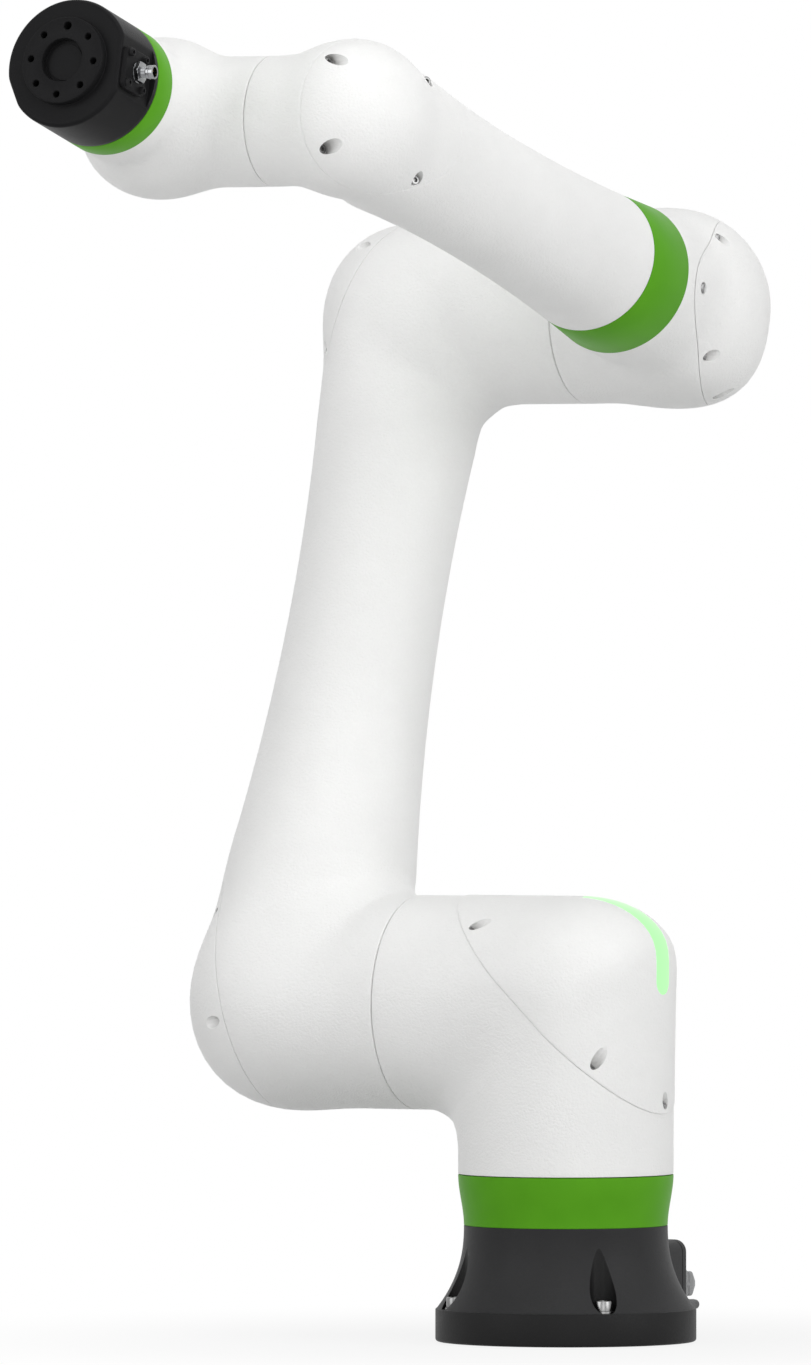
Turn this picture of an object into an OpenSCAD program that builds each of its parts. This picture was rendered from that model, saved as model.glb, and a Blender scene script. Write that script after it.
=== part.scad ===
/* [Base] */
// Radius of the round foot plate
foot_r = 95; // [88:0.5:110]
// Thickness of the foot plate
foot_t = 24; // [14:1:30]
// Chamfer under the foot plate's rim
foot_chamfer = 4; // [1:0.5:6]
// Height of the base casting below the ring
base_h = 84.5; // [70:0.5:110]
// Radius of the waist where the ring starts
waist_r = 74.2; // [68:0.2:77]
// Height of the coloured ring on the base
base_ring_h = 36.8; // [20:0.2:50]
// Hole spacing of the square foot bolt pattern
bolt_square = 120; // [110:1:122]
// Diameter of the foot bolt holes
bolt_hole_d = 7; // [5:0.5:9]
// Diameter of the pockets above the foot bolts
bolt_pocket_d = 19.5; // [15:0.5:22]
// Sharpness of the flare above the foot plate
flare = 2.35; // [1.8:0.05:3]

/* [Connector box] */
// Width of the connector box
box_w = 82; // [70:1:110]
// How far the box reaches behind the base axis
box_reach = 118; // [112:1:140]
// Height of the box's top
box_top = 70; // [60:1:80]
// Gap under the box
box_lift = 5; // [2:0.5:10]
// Radius of the box's long edges
box_round = 9; // [4:0.5:14]
// Fit of the box against the base
box_fit = 0.1; // [0.05:0.05:0.5]
// Width of the power connector
power_w = 34; // [26:1:40]
// Height of the power connector
power_h = 18; // [14:0.5:22]
// How far the power connector stands out
power_out = 21; // [14:1:34]
// Bevel round the power connector's outer end
power_bevel = 6; // [1:0.5:8]
// Height of the power connector's centre
power_z = 37; // [36:0.5:50]
// Diameter of the cable fitting
fitting_d = 11; // [8:0.5:13]
// How far the cable fitting stands out
fitting_out = 31; // [12:1:36]
// Height of the cable fitting's centre
fitting_z = 21; // [14:0.5:22]
// Sideways place of the cable fitting
fitting_x = 38; // [30:0.5:40]

/* [Link lengths] */
// Height of the shoulder axis
shoulder_height = 245; // [235:1:270]
// Shoulder axis to elbow axis
upper_arm_length = 540; // [480:1:700]
// Elbow axis to wrist axis
forearm_length = 540; // [480:1:700]
// Sideways step from forearm axis to flange axis
wrist_step = 150; // [140:1:170]
// Wrist axis to the tool face
flange_reach = 160; // [150:1:180]

/* [Stored pose] */
// Backward lean of the upper arm
arm_lean = 20.43; // [0:0.01:40]
// Rise of the forearm
forearm_rise = 13.53; // [-10:0.01:40]
// Rise of the flange axis
wrist_rise = 14.3; // [-10:0.1:40]

/* [Joints] */
// Radius of the column and shoulder joint
shoulder_r = 78.4; // [76:0.2:82]
// Side face of the shoulder joint, from the base axis
shoulder_face = 119; // [112:0.5:126]
// Radius of the elbow joint
elbow_r = 63.6; // [60:0.2:68]
// Side face of the elbow joint, from the forearm axis
elbow_face = 75.2; // [72:0.2:80]
// Radius of the wrist joint
wrist_r = 46.3; // [44:0.1:50]
// Side face of the wrist joint, from the forearm axis
wrist_face = 63.4; // [60:0.2:68]
// Open seam at each turning joint
joint_gap = 0.6; // [0.4:0.1:1]
// Radius of each joint's register as a share of the housing
register_share = 0.72; // [0.5:0.01:0.8]
// Length of each joint's register
register_len = 9; // [5:0.5:14]
// Depth to which a register is rooted in its link
register_root = 10; // [5:1:20]
// Running clearance of a register in its seat
register_clear = 0.05; // [0.02:0.01:0.1]

/* [Link sections] */
// Sideways distance of the upper arm's centre line
arm_offset = 218.5; // [210:0.5:230]
// Upper arm radius at its lower bend
arm_low_r = 72; // [62:0.5:76]
// Upper arm radius at its slimmest
arm_mid_r = 55.8; // [50:0.2:60]
// Where the upper arm is slimmest, as a share of its straight part
slim_at = 0.65; // [0.4:0.01:0.8]
// Upper arm radius at its upper bend
arm_top_r = 60; // [54:0.5:64]
// Inner fillet of the shoulder housing
shoulder_fillet = 30; // [15:0.5:34]
// Inner fillet of the upper arm's lower bend
arm_low_fillet = 27; // [15:0.5:32]
// Inner fillet of the upper arm's upper bend
arm_top_fillet = 30; // [15:0.5:40]
// Inner fillet of the elbow housing
elbow_fillet = 16; // [8:0.5:17]
// Inner fillet of the wrist end of the forearm
forearm_fillet = 9; // [4:0.5:9]
// Start of the elbow ring along the forearm
elbow_ring_at = 105; // [98:0.5:115]
// Length of the elbow ring
elbow_ring_len = 50; // [30:0.5:60]
// Elbow ring radius at the elbow
elbow_ring_r1 = 57.2; // [54:0.2:60]
// Elbow ring radius at the forearm
elbow_ring_r2 = 53.4; // [50:0.2:56]
// Forearm radius at its slimmest
forearm_mid_r = 48.6; // [44:0.2:52]
// Forearm radius at the wrist bend
forearm_end_r = 54; // [46:0.5:56]
// Straight part of the wrist housing behind its ring
wrist_straight = 1.2; // [0.5:0.1:4]
// Length of the wrist ring
wrist_ring_len = 21; // [12:0.5:28]
// Radius of the wrist ring and flange housing
flange_r = 46.8; // [44:0.2:50]
// Fullness of the links' outer corners
corner = 4.5; // [3:0.1:6]
// Fullness of the shoulder's outer corner
shoulder_corner = 11; // [5:0.5:14]
// Ball radius at the upper arm's lower end
arm_low_ball = 78.4; // [70:0.2:82]
// How far that ball stands out from the arm
arm_low_out = 1; // [0:0.5:4]
// Ball radius at the upper arm's upper end
arm_top_ball = 67; // [60:0.5:69]
// Ball radius of the elbow
elbow_ball = 69.5; // [62:0.5:73]
// Height of the elbow's ball over its axis
elbow_lift = 4.5; // [0:0.5:6]
// Ball radius at the forearm's wrist end
forearm_ball = 56; // [50:0.5:60]
// Height of the forearm's ball over its axis
forearm_lift = 2; // [0:0.5:4]
// Ball radius of the wrist housing
wrist_ball = 57; // [48:0.5:58]
// Height of the wrist's ball over its axis
wrist_lift = 3.5; // [0:0.5:6]
// How far the wrist's ball lies towards the flange
wrist_fore = 5; // [0:0.5:8]

/* [Covers] */
// Seam between a cover and its housing
cover_seam = 0.5; // [0.3:0.1:1]
// Tilt of the lower arm cover
low_tilt = 16; // [10:1:24]
// Place of the lower arm cover, from the base axis
low_cover_at = 252; // [244:1:258]
// Tilt of the upper arm cover
top_tilt = 22; // [14:1:28]
// Place of the upper arm cover, from the base axis
top_cover_at = 247; // [240:1:254]
// Tilt of the elbow cover
elbow_tilt = 22; // [16:0.5:26]
// Place of the elbow cover, from the forearm axis
elbow_cover_at = 22; // [18:0.5:32]
// Place of the wrist cover, from the wrist's centre
wrist_cover_at = 21; // [16:0.5:28]
// Diameter of the screw pockets
pocket_d = 9; // [8:0.5:11]
// Cover thickness left under the screw pockets
pocket_floor = 5; // [3:0.5:8]
// Diameter of the screw holes
screw_hole_d = 4.5; // [3:0.1:5]
// Distance of the screws from a cover's edge
screw_inset = 6.5; // [6:0.5:12]

/* [Status light] */
// Width of the light strip
light_w = 20; // [8:0.5:24]
// Where the strip starts on top, from the base axis
light_start = 18; // [5:1:40]
// Where the strip ends, above the shoulder axis
light_end = 8; // [0:1:30]
// Depth of the light's groove
light_deep = 3; // [2:0.5:5]
// Gap round the light in its groove
light_gap = 0.2; // [0.1:0.05:0.5]

/* [Tool flange] */
// Length of the flange from its ring to the tool face
flange_len = 58; // [50:0.5:70]
// Distance of the connector flat from the flange axis
flange_flat = 42; // [38:0.5:44]
// Full round length kept at the ring end of the flange housing
flat_margin = 5; // [2:0.5:10]
// Diameter of the tool plate
plate_d = 63; // [60:0.5:80]
// Height of the tool plate over its housing
plate_h = 7; // [4:0.5:10]
// Pitch circle of the tool holes
tool_pcd = 50; // [40:1:52]
// Diameter of the tapped tool holes
tool_hole_d = 5; // [4:0.1:6.8]
// Diameter of the dowel hole
dowel_d = 6; // [4:0.5:7]
// Depth of the tool holes
tool_hole_deep = 12; // [6:0.5:16]
// Diameter of the pilot bore
pilot_d = 31.5; // [20:0.5:36]
// Depth of the pilot bore
pilot_deep = 6; // [3:0.5:10]
// Chamfer of the tool plate and pilot bore
plate_chamfer = 0.8; // [0.3:0.1:1.5]
// Edge radius of the flange housing
flange_round = 3; // [1:0.5:5]
// Connector plate length along the flange
conn_l = 34; // [28:0.5:38]
// Connector plate width
conn_w = 30; // [26:0.5:34]
// Connector plate thickness
conn_t = 4; // [3:0.5:6]
// Screw spacing along the connector plate
conn_screw_l = 24; // [20:0.5:26]
// Screw spacing across the connector plate
conn_screw_w = 22; // [18:0.5:24]
// Diameter of the connector plate's screw seats
conn_seat_d = 5; // [4:0.5:7]
// Width across flats of the tool connector's nut
nut_flats = 14; // [12:0.5:17]
// Thickness of the tool connector's nut
nut_t = 4; // [3:0.5:6]
// Barrel diameter of the tool connector
barrel_d = 10; // [8:0.5:11]
// How far the tool connector stands out
barrel_out = 14; // [12:0.5:24]
// Socket diameter of the tool connector
socket_d = 7; // [5:0.5:7.5]
// Turn of the dowel hole from straight up
tool_turn = -2.8; // [-10:0.1:10]

/* [Hidden] */
$fn = 96;
white = [0.9, 0.9, 0.88];
green = [0.33, 0.62, 0.16];
black = [0.16, 0.16, 0.16];
grey = [0.45, 0.46, 0.47];
steel = [0.75, 0.76, 0.77];
lamp = [0.75, 1, 0.75];
around = 48;
steps = 14;
big = 600;
ring_top = base_h + base_ring_h;
rear = box_reach - box_fit;
elbow_pos = [0, upper_arm_length * sin(arm_lean), shoulder_height + upper_arm_length * cos(arm_lean)];
wrist_pos = elbow_pos + forearm_length * [0, -cos(forearm_rise), sin(forearm_rise)];
elbow_ring_end = elbow_ring_at + elbow_ring_len;
wrist_ring_end = flange_reach - flange_len;
wrist_ring_at = wrist_ring_end - wrist_ring_len;
wrist_fillet = wrist_ring_at - flange_r - wrist_straight;
housing_end = flange_reach - plate_h;
conn_at = (wrist_ring_end + flat_margin + housing_end) / 2;
diagonal = sqrt(0.5);

// Sub-part to show

// Frames of the moving links, each with X along the pitch axes
module in_arm() translate([0, 0, shoulder_height]) rotate([-arm_lean, 0, 0]) children();
module in_forearm() translate(elbow_pos) rotate([-forearm_rise, 0, 0]) children();
module in_wrist() translate(wrist_pos) rotate([-wrist_rise, 0, 0]) children();
module in_flange() in_wrist() translate([-wrist_step, 0, 0]) rotate([90, 0, 0]) children();

// A ring of points with centre c and half axes u and v
function ring(c, u, v, inner = 1) = [for (i = [0:around - 1])
    let (a = 360 * i / around) c + u * cos(a) * (cos(a) < 0 ? inner : 1) + v * sin(a)];

// Rings that fan round pivot p from direction d0 to d1, with radii r0 to r1 and a ball near where their axes
// cross, moved by shift along d0 and d1 and by lift across them
function bend(p, d0, d1, across, fillet, r0, r1, ball, lift = 0, shift = [0, 0], full = corner) =
    [for (i = [0:steps])
    let (a = 90 * i / steps, d = d0 * cos(a) + d1 * sin(a), b0 = fillet + r0, b1 = fillet + r1,
        square = pow(cos(a) / (b0 + r0), full) + pow(sin(a) / (b1 + r1), full),
        near = (b0 + shift[0]) * cos(a) + (b1 + shift[1]) * sin(a),
        off = (b0 + shift[0]) * sin(a) - (b1 + shift[1]) * cos(a),
        puff = sqrt(max(0, ball * ball - off * off)),
        reach = max(pow(square, -1 / full), near + puff), w = max(r0 + (r1 - r0) * pow(sin(a), 2), puff))
    ring(p + d * (reach - w) + across * lift * pow(sin(2 * a), 2), d * w, across * w,
        (reach - w - fillet) / w)];

// Radius at share t of a link from r0 to r1 that is slimmest at share s
function slim(t, r0, mid, r1, s) = mid + (t < s ? (r0 - mid) * pow(1 - t / s, 2)
    : (r1 - mid) * pow((t - s) / (1 - s), 2));

// A closed skin through rings
module loft(rings) {
    n = len(rings);
    polyhedron(points = [for (r = rings) each r],
        faces = [[for (i = [0:around - 1]) i], [for (i = [around - 1:-1:0]) (n - 1) * around + i],
            for (k = [0:n - 2]) for (i = [0:around - 1]) let (j = (i + 1) % around)
                each [[k * around + i, (k + 1) * around + i, (k + 1) * around + j],
                    [k * around + i, (k + 1) * around + j, k * around + j]]]);
}

// Round seat on a joint's axis, and the register that turns in it
module seat(r) translate([0, 0, -1]) cylinder(r = r * register_share + register_clear, h = register_len + 1);
module register(r) translate([0, 0, register_clear - register_len])
    cylinder(r = r * register_share, h = register_len + joint_gap + register_root);

// Parting planes of the covers: a point, then the turns about Y and Z that point out of the link
shoulder_split = [[0, 0, shoulder_height], 45, 0];
low_split = [[-low_cover_at, 0, 0], -90 - low_tilt, 0];
top_split = [[-top_cover_at, 0, upper_arm_length], top_tilt - 90, 0];
elbow_split = [[elbow_cover_at, 0, 0], 90, elbow_tilt];
wrist_split = [[wrist_cover_at * diagonal, -forearm_length - wrist_cover_at * diagonal, 0], 90, -45];

function out_of(s) = [sin(s[1]) * cos(s[2]), sin(s[1]) * sin(s[2]), cos(s[1])];
function along(s) = [cos(s[1]) * cos(s[2]), cos(s[1]) * sin(s[2]), -sin(s[1])];
function across(s) = [-sin(s[2]), cos(s[2]), 0];

// Points where a skin crosses a parting plane
function crossing(rings, s) = [for (k = [0:len(rings) - 2], i = [0:around - 1])
    let (p = rings[k][i] - s[0], q = rings[k + 1][i] - s[0], x = p * out_of(s), y = q * out_of(s))
    if (x * y < 0) p + (q - p) * x / (x - y)];

module in_split(s) translate(s[0]) rotate([0, s[1], s[2]]) children();
module beyond(s, seam = 0) in_split(s) translate([-big, -big, seam]) cube(2 * big);

// Screw holes and their pockets round the edge of a cover
module screw_pockets(rings, s, angles) {
    edge = [for (p = crossing(rings, s)) [p * along(s), p * across(s)]];
    xs = [for (p = edge) p.x];
    ys = [for (p = edge) p.y];
    middle = [max(xs) + min(xs), max(ys) + min(ys)] / 2;
    for (t = angles) {
        aim = [cos(t), sin(t)];
        near = [for (p = edge) (p - middle) * aim / norm(p - middle)];
        place = edge[search(max(near), near)[0]] - aim * screw_inset;
        in_split(s) translate([place.x, place.y, 0]) {
            translate([0, 0, -1]) cylinder(d = screw_hole_d, h = pocket_floor + 2);
            translate([0, 0, pocket_floor]) cylinder(d = pocket_d, h = big);
        }
    }
}

module cover(rings, s, angles) difference() {
    intersection() {
        loft(rings);
        beyond(s, cover_seam);
    }
    screw_pockets(rings, s, angles);
}

module base_form(grow) rotate_extrude() polygon(concat(
    [[0, 0], [foot_r - foot_chamfer + grow, 0], [foot_r + grow, foot_chamfer], [foot_r + grow, foot_t - 1],
        [foot_r - 1 + grow, foot_t]],
    [for (t = [1:-0.1:0]) [waist_r + (foot_r - 1 - waist_r) * pow(t, flare) + grow,
        base_h - (base_h - foot_t) * t]],
    [[0, base_h]]));

module base_casting() color(black) difference() {
    base_form(0);
    for (x = [-1, 1], y = [-1, 1]) translate([x, y, 0] * bolt_square / 2) {
        translate([0, 0, -1]) cylinder(d = bolt_hole_d, h = foot_t + 2);
        translate([0, 0, foot_t]) cylinder(d = bolt_pocket_d, h = base_h);
    }
}

module base_ring() color(green) difference() {
    translate([0, 0, base_h]) rotate_extrude() polygon(concat([[0, 0]],
        [for (t = [0:0.1:1]) [waist_r + (shoulder_r - waist_r) * t * t * (3 - 2 * t), base_ring_h * t]],
        [[0, base_ring_h]]));
    translate([0, 0, ring_top]) rotate([180, 0, 0]) seat(shoulder_r);
}

module connector_box() color(black) difference() {
    translate([-box_w / 2, 0, box_lift]) cube([box_w, rear, box_top - box_lift]);
    for (x = [-1, 1])
        translate([x * (box_w / 2 - box_round), 0, box_top - box_round]) rotate([-90, 0, 0]) difference() {
        translate([x > 0 ? 0 : -box_w, -box_w, -1]) cube([box_w, box_w, big]);
        translate([0, 0, -2]) cylinder(r = box_round, h = big + 4);
    }
    base_form(box_fit);
}

module power_connector() color(grey)
    translate([fitting_x - power_w, rear, power_z - power_h / 2]) rotate([90, 0, 90]) linear_extrude(power_w)
    polygon([[0, 0], [power_out - power_bevel, 0], [power_out, power_bevel],
        [power_out, power_h - power_bevel], [power_out - power_bevel, power_h], [0, power_h]]);

module cable_fitting() color(grey)
    translate([fitting_x - fitting_d / 2, rear, fitting_z]) rotate([-90, 0, 0]) {
    cylinder(d = fitting_d, h = fitting_out / 2, $fn = 6);
    cylinder(d = fitting_d * 0.8, h = fitting_out);
}

shoulder_rings = concat(
    [ring([0, 0, ring_top + joint_gap], [shoulder_r, 0, 0], [0, shoulder_r, 0])],
    bend([-shoulder_r - shoulder_fillet, 0, shoulder_height - shoulder_r - shoulder_fillet],
        [1, 0, 0], [0, 0, 1], [0, 1, 0], shoulder_fillet, shoulder_r, shoulder_r, 0, full = shoulder_corner),
    [ring([-shoulder_face, 0, shoulder_height], [0, 0, shoulder_r], [0, shoulder_r, 0])]);

module shoulder_housing() color(white) {
    difference() {
        loft(shoulder_rings);
        beyond(shoulder_split);
        translate([-shoulder_face, 0, shoulder_height]) rotate([0, 90, 0]) seat(shoulder_r);
    }
    translate([0, 0, ring_top]) register(shoulder_r);
}

// The crown of the shoulder outside a skin of the given depth, as wide as the light
module light_zone(depth, spare) difference() {
    translate([light_start - spare, 0, shoulder_height + light_end + light_w / 2]) {
        translate([0, -light_w / 2 - spare, 0]) cube([big, light_w + 2 * spare, big]);
        rotate([0, 90, 0]) cylinder(d = light_w + 2 * spare, h = big);
    }
    translate([-depth, 0, -depth]) loft(shoulder_rings);
}

module shoulder_cover() color(white) difference() {
    cover(shoulder_rings, shoulder_split, [-143, -42, 2, 42, 143]);
    light_zone(light_deep, light_gap);
}

module status_light() color(lamp) intersection() {
    loft(shoulder_rings);
    light_zone(light_deep - light_gap, 0);
}

arm_low = [-shoulder_face - joint_gap - 2, 0, shoulder_r + arm_low_fillet];
arm_top = [-arm_offset + arm_top_r + arm_top_fillet, 0, upper_arm_length - elbow_r - arm_top_fillet];
arm_low_x = arm_low.x - arm_low_fillet - arm_low_r;
arm_rings = concat(
    [ring([-shoulder_face - joint_gap, 0, 0], [0, 0, -shoulder_r], [0, -shoulder_r, 0])],
    bend(arm_low, [0, 0, -1], [-1, 0, 0], [0, -1, 0], arm_low_fillet, shoulder_r, arm_low_r, arm_low_ball, 0,
        [0, arm_low_out]),
    [for (i = [1:11]) let (t = i / 12, r = slim(t, arm_low_r, arm_mid_r, arm_top_r, slim_at))
        ring([arm_low_x - (arm_offset + arm_low_x) * t, 0, arm_low.z + (arm_top.z - arm_low.z) * t],
            [-r, 0, 0], [0, -r, 0])],
    bend(arm_top, [-1, 0, 0], [0, 0, 1], [0, -1, 0], arm_top_fillet, arm_top_r, elbow_r, arm_top_ball),
    [ring([-elbow_face - joint_gap, 0, upper_arm_length], [0, 0, elbow_r], [0, -elbow_r, 0])]);

module upper_arm_casting() color(white) in_arm() {
    difference() {
        loft(arm_rings);
        beyond(low_split);
        beyond(top_split);
        translate([-elbow_face - joint_gap, 0, upper_arm_length]) rotate([0, -90, 0]) seat(elbow_r);
    }
    translate([-shoulder_face, 0, 0]) rotate([0, -90, 0]) register(shoulder_r);
}

module upper_arm_low_cover() color(white) in_arm() cover(arm_rings, low_split, [-134:72:154]);

module upper_arm_top_cover() color(white) in_arm() cover(arm_rings, top_split, [-130:90:140]);

elbow_rings = concat(
    [ring([-elbow_face, 0, 0], [0, elbow_r, 0], [0, 0, elbow_r])],
    bend([-elbow_ring_r1 - elbow_fillet, -elbow_r - elbow_fillet, 0], [0, 1, 0], [1, 0, 0], [0, 0, 1],
        elbow_fillet, elbow_r, elbow_ring_r1, elbow_ball, elbow_lift),
    [ring([0, -elbow_ring_at, 0], [elbow_ring_r1, 0, 0], [0, 0, elbow_ring_r1])]);

module elbow_housing() color(white) in_forearm() {
    difference() {
        loft(elbow_rings);
        beyond(elbow_split);
    }
    translate([-elbow_face - joint_gap, 0, 0]) rotate([0, 90, 0]) register(elbow_r);
}

module elbow_cover() color(white) in_forearm() cover(elbow_rings, elbow_split, [-160:60:140]);

module elbow_ring() color(green) in_forearm() difference() {
    translate([0, -elbow_ring_at, 0]) rotate([90, 0, 0])
        cylinder(r1 = elbow_ring_r1, r2 = elbow_ring_r2, h = elbow_ring_len);
    translate([0, -elbow_ring_end, 0]) rotate([-90, 0, 0]) seat(elbow_ring_r2);
}

forearm_pivot = [-forearm_end_r - forearm_fillet, -forearm_length + wrist_r + forearm_fillet, 0];
forearm_start = -elbow_ring_end - joint_gap;
forearm_rings = concat(
    [for (i = [0:8]) let (t = i / 9, r = slim(t, elbow_ring_r2, forearm_mid_r, forearm_end_r, 0.5))
        ring([0, forearm_start + (forearm_pivot.y - forearm_start) * t, 0], [r, 0, 0], [0, 0, r])],
    bend(forearm_pivot, [1, 0, 0], [0, -1, 0], [0, 0, 1],
        forearm_fillet, forearm_end_r, wrist_r, forearm_ball, forearm_lift),
    [ring([-wrist_face, -forearm_length, 0], [0, -wrist_r, 0], [0, 0, wrist_r])]);

module forearm_tube() color(white) in_forearm() {
    difference() {
        loft(forearm_rings);
        beyond(wrist_split);
        translate([-wrist_face, -forearm_length, 0]) rotate([0, 90, 0]) seat(wrist_r);
    }
    translate([0, -elbow_ring_end, 0]) rotate([90, 0, 0]) register(elbow_ring_r2);
}

module forearm_cover() color(white) in_forearm() cover(forearm_rings, wrist_split, [-138:90:132]);

module wrist_housing() color(white) in_wrist() {
    loft(concat(
        [ring([-wrist_face - joint_gap, 0, 0], [0, wrist_r, 0], [0, 0, -wrist_r])],
        bend([-wrist_step + flange_r + wrist_fillet, -wrist_r - wrist_fillet, 0],
            [0, 1, 0], [-1, 0, 0], [0, 0, -1], wrist_fillet, wrist_r, flange_r, wrist_ball,
            -wrist_lift, [-wrist_fore, 0]),
        [ring([-wrist_step, -wrist_ring_at, 0], [-flange_r, 0, 0], [0, 0, -flange_r])]));
    translate([-wrist_face, 0, 0]) rotate([0, -90, 0]) register(wrist_r);
}

module wrist_ring() color(green) in_flange() difference() {
    translate([0, 0, wrist_ring_at]) cylinder(r = flange_r, h = wrist_ring_len);
    translate([0, 0, wrist_ring_end]) rotate([180, 0, 0]) seat(flange_r);
}

// The dowel hole and the tapped holes of the tool face
module tool_holes() for (i = [0:7]) rotate(45 * i + tool_turn)
    translate([0, tool_pcd / 2, flange_reach - tool_hole_deep])
        cylinder(d = i == 0 ? dowel_d : tool_hole_d, h = big);

module flange_housing() color(black) in_flange() {
    difference() {
        rotate_extrude() polygon(concat(
            [[0, wrist_ring_end + joint_gap], [flange_r, wrist_ring_end + joint_gap]],
            [for (a = [0:15:90]) [flange_r - flange_round * (1 - cos(a)),
                housing_end - flange_round * (1 - sin(a))]],
            [[0, housing_end]]));
        for (turn = [0, 207]) rotate(turn) translate([flange_flat, -flange_r, wrist_ring_end + flat_margin])
            cube([flange_r, 2 * flange_r, flange_reach]);
        tool_holes();
    }
    translate([0, 0, wrist_ring_end]) register(flange_r);
}

module tool_plate() color(black) in_flange() difference() {
    rotate_extrude() polygon([[0, housing_end], [plate_d / 2, housing_end],
        [plate_d / 2, flange_reach - plate_chamfer],
        [plate_d / 2 - plate_chamfer, flange_reach], [pilot_d / 2 + plate_chamfer, flange_reach],
        [pilot_d / 2, flange_reach - plate_chamfer], [pilot_d / 2, flange_reach - pilot_deep],
        [0, flange_reach - pilot_deep]]);
    tool_holes();
}

module connector_plate() color(black) in_flange()
    translate([flange_flat, 0, conn_at]) rotate([0, 90, 0]) difference() {
    translate([-conn_l / 2, -conn_w / 2, 0]) cube([conn_l, conn_w, conn_t]);
    for (x = [-1, 1], y = [-1, 1]) translate([x * conn_screw_l / 2, y * conn_screw_w / 2, conn_t / 2])
        cylinder(d = conn_seat_d, h = conn_t);
}

module tool_connector() color(steel) in_flange()
    translate([flange_flat + conn_t, 0, conn_at]) rotate([0, 90, 0])
    difference() {
        union() {
            cylinder(d = nut_flats / cos(30), h = nut_t, $fn = 6);
            cylinder(d = barrel_d, h = barrel_out);
        }
        translate([0, 0, nut_t]) cylinder(d = socket_d, h = barrel_out);
    }

base_casting();
base_ring();
connector_box();
power_connector();
cable_fitting();
shoulder_housing();
shoulder_cover();
status_light();
upper_arm_casting();
upper_arm_low_cover();
upper_arm_top_cover();
elbow_housing();
elbow_cover();
elbow_ring();
forearm_tube();
forearm_cover();
wrist_housing();
wrist_ring();
flange_housing();
tool_plate();
connector_plate();
tool_connector();
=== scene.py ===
import bpy, bmesh, math
import numpy as np
from mathutils import Matrix, Vector


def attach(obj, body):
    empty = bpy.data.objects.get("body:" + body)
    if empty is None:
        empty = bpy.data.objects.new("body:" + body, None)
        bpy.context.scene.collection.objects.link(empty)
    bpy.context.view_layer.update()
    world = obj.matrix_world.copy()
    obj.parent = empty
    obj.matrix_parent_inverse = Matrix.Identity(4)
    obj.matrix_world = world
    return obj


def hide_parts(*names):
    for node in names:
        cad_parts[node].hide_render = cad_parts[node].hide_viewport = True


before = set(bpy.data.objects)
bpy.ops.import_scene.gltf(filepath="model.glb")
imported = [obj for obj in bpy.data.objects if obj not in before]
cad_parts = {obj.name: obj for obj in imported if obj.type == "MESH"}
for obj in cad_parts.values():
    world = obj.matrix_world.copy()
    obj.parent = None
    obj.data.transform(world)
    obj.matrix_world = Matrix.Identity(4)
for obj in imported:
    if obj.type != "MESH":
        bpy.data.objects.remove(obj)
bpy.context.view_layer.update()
mm = 0.001
print("frame loaded:", len(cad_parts), "nodes")


class Wire:
    def __init__(self, tree, socket=None):
        self.tree, self.socket = tree, socket

    # any node: type, settings first, then the values or links of its sockets
    def add(self, kind, settings=None, sockets=None, out=0):
        node = self.tree.nodes.new("ShaderNode" + kind)
        for key, value in (settings or {}).items():
            setattr(node, key, value)
        for key, value in (sockets or {}).items():
            if isinstance(value, Wire):
                self.tree.links.new(value.socket, node.inputs[key])
            else:
                node.inputs[key].default_value = value
        return Wire(self.tree, node.outputs[out] if node.outputs else None)

    def calc(self, operation, a, b):
        return self.add("Math", {"operation": operation}, {0: a, 1: b})

    def __add__(self, other):
        return self.calc("ADD", self, other)

    def __radd__(self, other):
        return self.calc("ADD", other, self)

    def __sub__(self, other):
        return self.calc("SUBTRACT", self, other)

    def __rsub__(self, other):
        return self.calc("SUBTRACT", other, self)

    def __mul__(self, other):
        return self.calc("MULTIPLY", self, other)

    def __rmul__(self, other):
        return self.calc("MULTIPLY", other, self)

    def noise(self, place, scale, detail, rough):
        return self.add("TexNoise", {}, {"Vector": place, "Scale": scale, "Detail": detail,
                                         "Roughness": rough})

    def step(self, value, low, high):
        return self.add("MapRange", {"interpolation_type": "SMOOTHSTEP"},
                        {0: value, 1: low, 2: high, 3: 0.0, 4: 1.0})

    def blend(self, amount, a, b):
        return self.add("Mix", {"data_type": "RGBA"}, {0: amount, 6: a, 7: b}, 2)


def linear(level):
    return level / 12.92 if level <= 0.04045 else ((level + 0.055) / 1.055) ** 2.4


def srgb(*shade):
    return tuple(linear(v / 255) for v in shade) + (1,)


def grey(level):
    return (level, level, level, 1)


# painted shade: 1 on the foot plate below a height and inside four upright bores at the corners of a square,
# where the base's paint is darkened to stand for the shade there
def paintedShadeMask(w, place, zone):
    x, y, z = (w.add("SeparateXYZ", {}, {0: place}, k) for k in range(3))
    fromX, fromY = (w.calc("ABSOLUTE", q, 0.0) - zone["square"] / 2 for q in (x, y))
    away = w.calc("SQRT", fromX * fromX + fromY * fromY, 0.0)
    onPlate = 1.0 - w.step(z, zone["low"], zone["high"])
    inBore = 1.0 - w.step(away, zone["bore"], zone["bore"] + zone["fade"])
    return w.calc("MAXIMUM", onPlate, inBore)


# what a finish has unless its own look says otherwise; pairs are where a mask starts and is full
plainLook = {"driftScale": 9.0, "smearScale": 38.0, "drifted": (0.3, 0.7), "smeared": (0.35, 0.62),
             "edgeWearAndHighlight": (0.53, 0.6), "hollow": (0.012, 0.07), "bumpDepth": 0.0004, "metal": 0.0, "specular": 0.5}
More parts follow.
